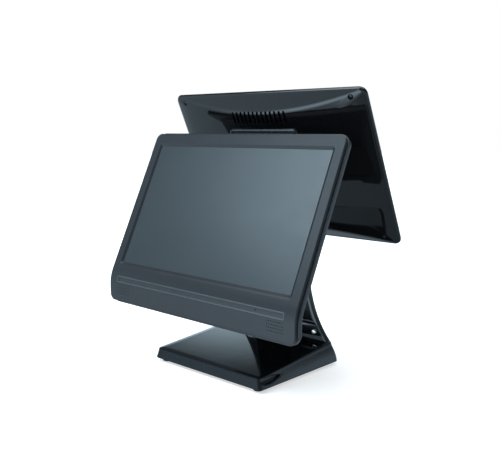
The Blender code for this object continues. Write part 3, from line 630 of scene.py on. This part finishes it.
def make_painted_slot_shade():
    """A near-black thin sheet on the strip's left end: painted shade standing in for a slot's dark opening.
    """
    low, high = STRIP_S
    left = -STRIP_X + 0.0020
    slot = rounded(left, low + 0.0022, left + 0.0024, high - 0.0022, 0.0010, 1, 1, 4)
    rings = [[face_point(x, s, depth) for x, s in slot] for depth in (0.0001, -0.00006)]
    loft("operator_strip_slot_painted_shade", rings, "main_display", "slot_painted_shade", MAIN)


make_rim()
make_housing()
make_bezel()
make_trim()
make_painted_slot_shade()


# ---- customer display --------------------------------------------------------------------

CUST_STEPS = (40, 28, 8)  # points along, up and round each corner of the customer's outlines
COVER_DEPTH = 0.0205
COVER_BOW = 0.456  # the back's bow across its width: depth lost for each square of x
SHOULDER_AT = (0.0030, 0.0042)  # inset and depth where the rolled edge ends
SHOULDER_SLOPE = 0.70
CREASE_BLEND = 0.0022
MID_U = CUST_H / 2
VENT_ROW = [(i - 6) * 0.0086 for i in range(13)]
VENT_HALF = 0.0021
SCREW_X = 0.1668
SCREW_U = (("upper", 0.2308), ("lower", 0.0135))
SCREW_WELL = (0.0042, -0.0062)  # radius and floor


def cust_outline(inset):
    x = CUST_W / 2 - inset
    r = max(CUST_R - inset * 0.5, 0.003)
    return rounded(-x, inset, x, CUST_H - inset, r, *CUST_STEPS)


def bow_depth(x):
    return COVER_DEPTH - COVER_BOW * x * x


def cover_point(x, u):
    """A point of the back: the bowed middle or the sloping shoulder, whichever is nearer."""
    at, depth = SHOULDER_AT
    edge = max(min(CUST_W / 2 - abs(x), u, CUST_H - u), at)
    bow, shoulder = bow_depth(x), depth + SHOULDER_SLOPE * (edge - at)
    crease = max(CREASE_BLEND - abs(bow - shoulder), 0.0) / CREASE_BLEND
    return (x, u, crease * crease * CREASE_BLEND * 0.25 - min(bow, shoulder))


def make_customer_cover():
    """A barrel-backed cover: bowed across, with sloping shoulders along the top and bottom."""
    at, depth = SHOULDER_AT
    roll = [(0.0012, -0.0001), (0.0003, -0.0001), (0.0, 0.0002)]
    roll += [(at * (1 - cos(radians(a))), depth * sin(radians(a)) * 0.93) for a in range(10, 71, 10)]
    rings = [[(x, u, -d) for x, u in cust_outline(i)] for i, d in roll]
    base = cust_outline(at)
    slopes = [max((bow_depth(x) - depth) / SHOULDER_SLOPE, 0.0) for x, _ in base]
    flat_u = CUST_H / 2 - CUST_R
    side_x = CUST_W / 2 - 2 * CUST_R
    for step in (0.0, 0.2, 0.4, 0.6, 0.75, 0.85, 0.93, 1.0, 1.07, 1.15, 1.25):
        ring = []
        for (x, u), slope in zip(base, slopes):
            inset = (slope + 0.0008) * step
            reach = min(abs(u - MID_U) / flat_u, 1.0) ** 6
            pull = min(inset, abs(x)) if abs(x) > side_x else 0.0
            px = x - pull if x > 0 else x + pull
            pu = u + (MID_U - u) / max(abs(MID_U - u), 1e-6) * inset * reach
            ring.append(cover_point(px, pu))
        rings.append(ring)
    last = rings[-1]
    for t in (0.1, 0.22, 0.36, 0.5, 0.64, 0.78, 0.90, 0.97):
        rings.append([cover_point(x * (1 - t), u + (MID_U - u) * t) for x, u, _ in last])
    cover = loft("customer_cover", rings, "customer_display", "gloss_black", CUST,
                 ("customer_back_cover",), sharp=60.0)
    slots = [(box_round((x, 0.20825), VENT_HALF, 0.00975, 0.0019, 4), -0.030, -0.0125) for x in VENT_ROW]
    dashes = [(box_round((x, 0.1948), VENT_HALF, 0.0008, 0.0007, 3), -0.030, -0.0165) for x in VENT_ROW]
    r, floor = SCREW_WELL
    wells = [(circle(x, u, r, 24), -0.030, floor) for x in (-SCREW_X, SCREW_X) for _, u in SCREW_U]
    cut(cover, [cutter(slots, CUST), cutter(dashes, CUST), cutter(wells, CUST)], sharp=50.0)


SCREW_PROFILE = (  # radius and height
    (0.0016, -0.0040), (0.0016, -0.0058), (0.0034, -0.0058), (0.0034, -0.0066), (0.0031, -0.0072),
    (0.0024, -0.0076), (0.0012, -0.0078),
)
SCREW_CROSS = (0.0021, 0.00035)  # half length and half width of each bar


def make_cover_screws():
    """Four cross-head screws in the cover's wells."""
    for row, u in SCREW_U:
        for side, x in (("left", SCREW_X), ("right", -SCREW_X)):
            rings = [[(a, b, w) for a, b in circle(x, u, r, 24)] for r, w in SCREW_PROFILE]
            screw = loft(f"screw_{row}_{side}", rings, "customer_display", "black_steel", CUST,
                         (f"cover_screw_{row}_{side}",))
            for a, b in (SCREW_CROSS, SCREW_CROSS[::-1]):
                cut(screw, [cutter([(box_round((x, u), a, b, 0.0002, 2), -0.012, -0.0068)], CUST)])


BOSS = (-0.068, 0.078, 0.068, 0.190)
BOSS_R = 0.0065
BOSS_PROFILE = (  # inset and height: a bevelled edge, then a shallow recess
    (0.0, -0.0190), (0.0, -0.0206), (0.0003, -0.0216), (0.0011, -0.0225), (0.0024, -0.0230),
    (0.0060, -0.0230), (0.0066, -0.0226), (0.0080, -0.0226),
)


def make_mount_boss():
    """The raised bar on the cover that the hinge's leaf is screwed to."""
    x0, u0, x1, u1 = BOSS
    rings = []
    for i, w in BOSS_PROFILE:
        outline = rounded(x0 + i, u0 + i, x1 - i, u1 - i, max(BOSS_R - i * 0.6, 0.002), 20, 12, 6)
        rings.append([(a, b, w) for a, b in outline])
    loft("mounting_boss", rings, "customer_display", "satin_black", CUST, ("customer_mount_boss",))


CUST_FACE = 0.0103


def make_customer_bezel():
    """The glossy frame round the customer's screen, with rolled sides."""
    outside = smooth_curve([(0.0, 0.0003), (0.0006, 0.0016), (0.0018, 0.0036), (0.004, 0.0060),
                            (0.0085, 0.0095), (0.0105, CUST_FACE)], 3)
    rings = [[(a, b, w) for a, b in cust_outline(i)] for i, w in outside]

    def window(grow):
        x, top = SCREEN_W / 2 + grow, CUST_WINDOW_U + SCREEN_H + grow
        return rounded(-x, CUST_WINDOW_U - grow, x, top, WINDOW_R + grow, *CUST_STEPS)

    start, end = cust_outline(0.0105), window(0.0038)
    rings += [[(a, b, CUST_FACE) for a, b in between(start, end, k / 4)] for k in range(1, 5)]
    bevel = ((0.0034, 0.0101), (0.0004, 0.0077), (0.0, 0.0072), (0.0, 0.0069), (0.004, 0.0069))
    rings += [[(a, b, w) for a, b in window(grow)] for grow, w in bevel]
    rings += [[(a, b, 0.0003) for a, b in cust_outline(i)] for i in (0.009, 0.003)]
    loft("customer_bezel", rings, "customer_display", "gloss_black", CUST, ("customer_front_bezel",),
         closed_section=True)


make_customer_cover()
make_cover_screws()
make_mount_boss()
make_customer_bezel()


# ---- stand -------------------------------------------------------------------------------

BASE_TAPER = 0.020  # how far the flanks close in toward the rear, for each metre across
BASE_REAR_DRAFT = 0.006
BASE_FLARE = 0.0025
BASE_SWELL = 0.0022
BASE_CORNER_R = 0.0060
BASE_EDGE = 0.0022
BASE_STEPS = (24, 96, 8)
SCOOP_Y = (-0.0838, -0.0390)
SCOOP_Z = (0.0145, 0.0165)
SCOOP_HALF = 0.0052
SCOOP_DEPTH = 0.0042
TOP_SLOPE = 0.85  # faces that point up more than this are the polished top


def base_top(y):
    front, rear = -BASE_D / 2, NECK_BACK
    return BASE_FRONT_Z + (BASE_REAR_Z - BASE_FRONT_Z) * (y - front) / (rear - front)


def leaf(y, z):
    """Depth, 0 to 1, of the leaf-shaped scoop in the flank at a point of the side view."""
    along = (y - SCOOP_Y[0]) / (SCOOP_Y[1] - SCOOP_Y[0])
    if not 0.0 < along < 1.0:
        return 0.0
    middle = SCOOP_Z[0] + (SCOOP_Z[1] - SCOOP_Z[0]) * along
    half = SCOOP_HALF * sin(pi * along ** 0.75)
    off = abs(z - middle) / max(half, 1e-5)
    return (1 - off * off) ** 0.7 if off < 1.0 else 0.0


def base_ring(inset, level):
    """The base's outline at a level from 0, its open bottom, to 1, its sloping top."""
    y0, y1 = -BASE_D / 2, BASE_D / 2
    x, r = BASE_W / 2 - inset, max(BASE_CORNER_R - inset * 0.3, 0.002)
    rear = y1 - BASE_REAR_DRAFT * level - inset * 0.2
    points = []
    for px, py in rounded(-x, y0 + inset, x, rear, r, *BASE_STEPS):
        t = (py - y0) / (y1 - y0)
        height = BASE_Z + (base_top(py) - BASE_Z) * level
        swell = BASE_SWELL * sin(pi * min(level * 1.15, 1.0)) * t
        waist = BASE_TAPER * t * level * abs(px)
        scoop = SCOOP_DEPTH * leaf(py, height)
        flare = BASE_FLARE * (1 - level) ** 1.5
        side = min(max((abs(px) / (BASE_W / 2) - 0.94) / 0.04, 0.0), 1.0)
        push = (swell + flare - scoop) * side - waist
        points.append((px + (push if px > 0 else -push), py, height))
    return points


def make_base():
    """The wedge: a drafted front and rear, and flanks that swell below a crease, with a scoop."""
    rings = [base_ring(0.0030, 0.0), base_ring(0.0006, 0.0), base_ring(0.0002, 0.02)]
    rings += [base_ring(0.0020 * k / 18, 0.02 + 0.88 * k / 18) for k in range(1, 19)]
    for a in range(15, 91, 15):
        inset = 0.0020 + BASE_EDGE * (1 - cos(radians(a)))
        rings.append(base_ring(inset, 0.90 + 0.10 * sin(radians(a))))
    rings += [base_ring(0.012, 1.0), base_ring(0.030, 1.0)]
    base = loft("base_shell", rings, "stand", "gloss_black", STAND, ("base_cover",), sharp=50.0)
    base.data.materials.append(MATS["edge_satin"])
    base.data.materials.append(MATS["base_front_painted_shade"])
    # Sides take edge_satin; faces that point forward take its darker copy, painted shade on the front wall.
    for face in base.data.polygons:
        if face.normal.z < TOP_SLOPE:
            face.material_index = 2 if face.normal.y < -0.5 else 1


NECK_EDGE = 0.0016
POCKETS = ((0.007, 0.062, 0.197), (0.004, 0.040, 0.057))  # inset from the flare, foot and head
POCKET_DEPTH = 0.006
POCKET_R = 0.004


def neck_half(z):
    return NECK_HALF + NECK_FLARE * exp(-(z - NECK_Z) / NECK_DECAY)


def neck_outline(inset, z0, z1, steps=24):
    heights = [z0 + (z1 - z0) * (i / steps) ** 1.4 for i in range(steps + 1)]
    right = [(neck_half(z) - inset, z) for z in heights]
    return right + [(-x, z) for x, z in reversed(right)]


def make_neck():
    """The flared casting with its two pockets."""
    sections = (
        (0.0045, NECK_BACK), (0.0016, NECK_BACK), (0.0005, NECK_BACK - 0.0006), (0.0, NECK_BACK - 0.0020),
        (0.0, NECK_RIM_Y + NECK_EDGE), (0.0004, NECK_RIM_Y + 0.0005), (NECK_EDGE, NECK_RIM_Y),
        (0.0045, NECK_RIM_Y),
    )
    rings = []
    for inset, y in sections:
        outline = neck_outline(inset, NECK_Z - 0.004, NECK_TOP - inset)
        rings.append([(x, y, z) for x, z in outline])
    casting = loft("neck_flange", rings, "stand", "satin_black", STAND, ("neck_casting",))
    place = STAND @ Matrix(((1, 0, 0, 0), (0, 0, 1, 0), (0, 1, 0, 0), (0, 0, 0, 1)))
    for pocket in POCKETS:
        cut(casting, [cutter([(pocket_outline(*pocket), 0.05, NECK_RIM_Y + POCKET_DEPTH)], place)])


def pocket_outline(inset, z0, z1):
    """The pocket between two heights with its lower corners rounded."""
    r = POCKET_R
    heights = [z0 + r + (z1 - z0 - r) * i / 16 for i in range(17)]
    x_low = neck_half(z0 + r) - inset
    corner = [(x_low - r + r * sin(radians(a)), z0 + r - r * cos(radians(a))) for a in range(0, 90, 15)]
    right = corner + [(neck_half(z) - inset, z) for z in heights]
    return right + [(-x, z) for x, z in reversed(right)]


FEET = (("front", 0.096, -0.074), ("rear", 0.088, 0.066))
FOOT_PROFILE = (  # radius and height
    (0.0040, 0.0004), (0.0052, 0.0), (0.0066, 0.0003), (0.0073, 0.0012), (0.0075, 0.0024),
    (0.0075, 0.0047), (0.0070, 0.0050),
)
SIDES = (("left", -1), ("right", 1))


def make_feet():
    """Four rubber feet, drawn in a little toward the floor."""
    for fore, foot_x, foot_y in FEET:
        for side, sign in SIDES:
            rings = [[(x, y, z) for x, y in circle(sign * foot_x, foot_y, r, 32)] for r, z in FOOT_PROFILE]
            name = f"rubber_foot_{fore}_{side}"
            loft(name, rings, "stand", "rubber", STAND, (f"foot_{fore}_{side}",))


THUMB_X = 0.0745
THUMB_Z = 0.0455
THUMB_PROFILE = (  # y, radius and whether it is knurled
    (0.0720, 0.0026, False), (0.0722, 0.0036, False), (0.0730, 0.0046, False), (0.0733, 0.0047, True),
    (0.0785, 0.0047, True), (0.0788, 0.0046, False), (0.0790, 0.0030, False), (0.0817, 0.0030, False),
)
KNURL = 0.00022


def make_thumb_screws():
    """The two knurled screws in the neck's lower pocket."""
    for side, sign in SIDES:
        rings = []
        for y, r, knurled in THUMB_PROFILE:
            ring = []
            for i in range(72):
                a = 2 * pi * i / 72
                radius = r - (KNURL if knurled and i % 3 == 0 else 0.0)
                ring.append((sign * THUMB_X + radius * cos(a), y, THUMB_Z + radius * sin(a)))
            rings.append(ring)
        name = f"thumb_screw_{side}"
        loft(name, rings, "stand", "nickel", STAND, (f"neck_{name}",), sharp=50)


make_base()
make_neck()
make_feet()
make_thumb_screws()

# ---- carried-over solids -----------------------------------------------------------------

# Each solid that no piece above replaces keeps its shape and gets its finish.
FINISHES = {row["node"]: row["material_slot"] for row in frame["record"]["subparts"]}
for node, obj in NODES.items():
    obj.data.materials.clear()
    obj.data.materials.append(MATS[FINISHES[node]])
    obj.data.shade_smooth()
    obj.data.set_sharp_from_angle(angle=radians(35))

# ---- stage -------------------------------------------------------------------------------


def toward(azimuth, elevation, distance=1.0):
    """A place at a compass direction: azimuth 0 is -Y, and 90 is -X."""
    a, e = radians(azimuth), radians(elevation)
    return (-distance * sin(a) * cos(e), -distance * cos(a) * cos(e), distance * sin(e))


LIGHT_BLUE = (0.66, 0.87, 1.0)
FLOOR_HALF = 6.0
FLOOR_STEPS = 8
FLOOR_GLOW = 0.60
ROOM_GLOW = (  # height of the direction, and brightness there
    (-1.0, 0.25), (1.0, 0.80), (-0.55, 0.60), (-0.30, 0.75), (-0.16, 1.0), (0.0, 0.9), (0.14, 0.65),
    (0.24, 0.20), (0.34, 0.15), (0.78, 0.15),
)
PATCHES = (  # direction, inner and outer radius in degrees, brightness
    (toward(135, 10), 9.0, 16.3, 2.6),
    (toward(24, -12), 6.0, 30.0, 3.4),
    (toward(44, 22), 8.0, 26.0, 0.85),
)
SUN_POWER = 2.4
SUN_SPREAD = radians(70)
SUN_TURN = (radians(4), radians(-6), 0)
SOFTBOX_AT = toward(34, 46, 2.4)
SOFTBOX_TARGET = (0, 0, 0.2)
SOFTBOX_SIZE = 1.2
SOFTBOX_POWER = 27.0


def make_floor_material():
    m = Shader("studio_floor")
    base = m.tint(m.noise(3.0, 4.0), (0.83, 0.83, 0.83), (0.86, 0.86, 0.86))
    m.set(Base_Color=base, Roughness=m.ramp(m.noise(20.0), 0.3, 0.7, 0.72, 0.85), Specular_IOR_Level=0.1,
          Emission_Color=(1.0, 1.0, 1.0, 1.0), Emission_Strength=FLOOR_GLOW)
    return m.material


def make_stage():
    """A plain pale floor, which the glossy parts don't mirror."""
    row = FLOOR_STEPS + 1
    line = [FLOOR_HALF * (i / FLOOR_STEPS - 0.5) * 2 for i in range(row)]
    verts = [(x, y, 0.0) for y in line for x in line]
    faces = [(j * row + i, j * row + i + 1, (j + 1) * row + i + 1, (j + 1) * row + i)
             for j in range(FLOOR_STEPS) for i in range(FLOOR_STEPS)]
    mesh = bpy.data.meshes.new("floor")
    mesh.from_pydata(verts, [], faces)
    floor = bpy.data.objects.new("floor", mesh)
    bpy.context.scene.collection.objects.link(floor)
    mesh.materials.append(make_floor_material())
    floor.visible_glossy = False


def make_world():
    """A white room to the camera. To the object, a dim blue room with a pale horizon and soft patches."""
    world = bpy.data.worlds.new("studio")
    bpy.context.scene.world = world
    world.use_nodes = True
    tree = world.node_tree
    tree.nodes.clear()

    def add(kind, **settings):
        node = tree.nodes.new(kind)
        for key, value in settings.items():
            setattr(node, key, value)
        return node

    def height_glow(direction):
        """Brightness by the height of the direction."""
        split, height = add("ShaderNodeSeparateXYZ"), add("ShaderNodeMapRange")
        band = add("ShaderNodeValToRGB")
        height.inputs["From Min"].default_value = -1.0
        band.color_ramp.interpolation = "B_SPLINE"
        for k, (z, glow) in enumerate(ROOM_GLOW):
            stops = band.color_ramp.elements
            stop = stops[k] if k < 2 else stops.new((z + 1) / 2)
            stop.position = (z + 1) / 2
            stop.color = (glow, glow, glow, 1)
        tree.links.new(direction, split.inputs[0])
        tree.links.new(split.outputs["Z"], height.inputs["Value"])
        tree.links.new(height.outputs["Result"], band.inputs["Fac"])
        return band.outputs["Color"]

    def plus_patch(total, direction, place, inner, outer, glow):
        """The total with a soft round patch added."""
        dot = add("ShaderNodeVectorMath", operation="DOT_PRODUCT")
        patch = add("ShaderNodeMapRange", interpolation_type="SMOOTHSTEP")
        both = add("ShaderNodeMath", operation="ADD")
        dot.inputs[1].default_value = place
        patch.inputs["From Min"].default_value = cos(radians(outer))
        patch.inputs["From Max"].default_value = cos(radians(inner))
        patch.inputs["To Max"].default_value = glow
        tree.links.new(direction, dot.inputs[0])
        tree.links.new(dot.outputs["Value"], patch.inputs["Value"])
        tree.links.new(total, both.inputs[0])
        tree.links.new(patch.outputs["Result"], both.inputs[1])
        return both.outputs["Value"]

    direction = add("ShaderNodeTexCoord").outputs["Generated"]
    total = height_glow(direction)
    for patch in PATCHES:
        total = plus_patch(total, direction, *patch)
    out, mix, path = add("ShaderNodeOutputWorld"), add("ShaderNodeMixShader"), add("ShaderNodeLightPath")
    seen, soft = add("ShaderNodeBackground"), add("ShaderNodeBackground")
    seen.inputs["Color"].default_value = (1, 1, 1, 1)
    seen.inputs["Strength"].default_value = 1.0
    soft.inputs["Color"].default_value = (*LIGHT_BLUE, 1)
    tree.links.new(total, soft.inputs["Strength"])
    tree.links.new(path.outputs["Is Camera Ray"], mix.inputs["Fac"])
    tree.links.new(soft.outputs["Background"], mix.inputs[1])
    tree.links.new(seen.outputs["Background"], mix.inputs[2])
    tree.links.new(mix.outputs["Shader"], out.inputs["Surface"])


def make_sun():
    """The even light from above that whitens the floor."""
    light = bpy.data.lights.new("overhead", "SUN")
    light.energy = SUN_POWER
    light.angle = SUN_SPREAD
    obj = bpy.data.objects.new("overhead", light)
    obj.rotation_euler = SUN_TURN
    bpy.context.scene.collection.objects.link(obj)


def make_softbox():
    """The square light that the operator's glass mirrors."""
    light = bpy.data.lights.new("front_left", "AREA")
    light.shape = "RECTANGLE"
    light.size = light.size_y = SOFTBOX_SIZE
    light.energy = SOFTBOX_POWER
    light.color = LIGHT_BLUE
    obj = bpy.data.objects.new("front_left", light)
    obj.location = SOFTBOX_AT
    obj.rotation_euler = (Vector(SOFTBOX_TARGET) - Vector(SOFTBOX_AT)).to_track_quat("-Z", "Y").to_euler()
    bpy.context.scene.collection.objects.link(obj)


CAMERA_AT = (0.7605, -0.7798 + STAND_Y, 0.3659)
CAMERA_AZIMUTH = radians(43.80)
CAMERA_PITCH = radians(8.05)
CAMERA_ROLL = radians(-0.70)
LENS_MM = 53.08
SENSOR_MM = 36.0


def make_camera():
    azimuth, pitch, roll = CAMERA_AZIMUTH, CAMERA_PITCH, CAMERA_ROLL
    right = Vector((cos(azimuth), sin(azimuth), 0))
    ahead = Vector((-sin(azimuth) * cos(pitch), cos(azimuth) * cos(pitch), -sin(pitch)))
    up = right.cross(ahead)
    right, up = cos(roll) * right + sin(roll) * up, cos(roll) * up - sin(roll) * right
    data = bpy.data.cameras.new("camera")
    data.lens = LENS_MM
    data.sensor_width = SENSOR_MM
    data.sensor_fit = "HORIZONTAL"
    data.clip_start = 0.05
    camera = bpy.data.objects.new("camera", data)
    turn = Matrix((right, up, -ahead)).transposed()
    camera.matrix_world = Matrix.Translation(CAMERA_AT) @ turn.to_4x4()
    bpy.context.scene.collection.objects.link(camera)
    bpy.context.scene.camera = camera


make_stage()
make_world()
make_sun()
make_softbox()
make_camera()
bpy.context.scene.view_settings.view_transform = "Standard"
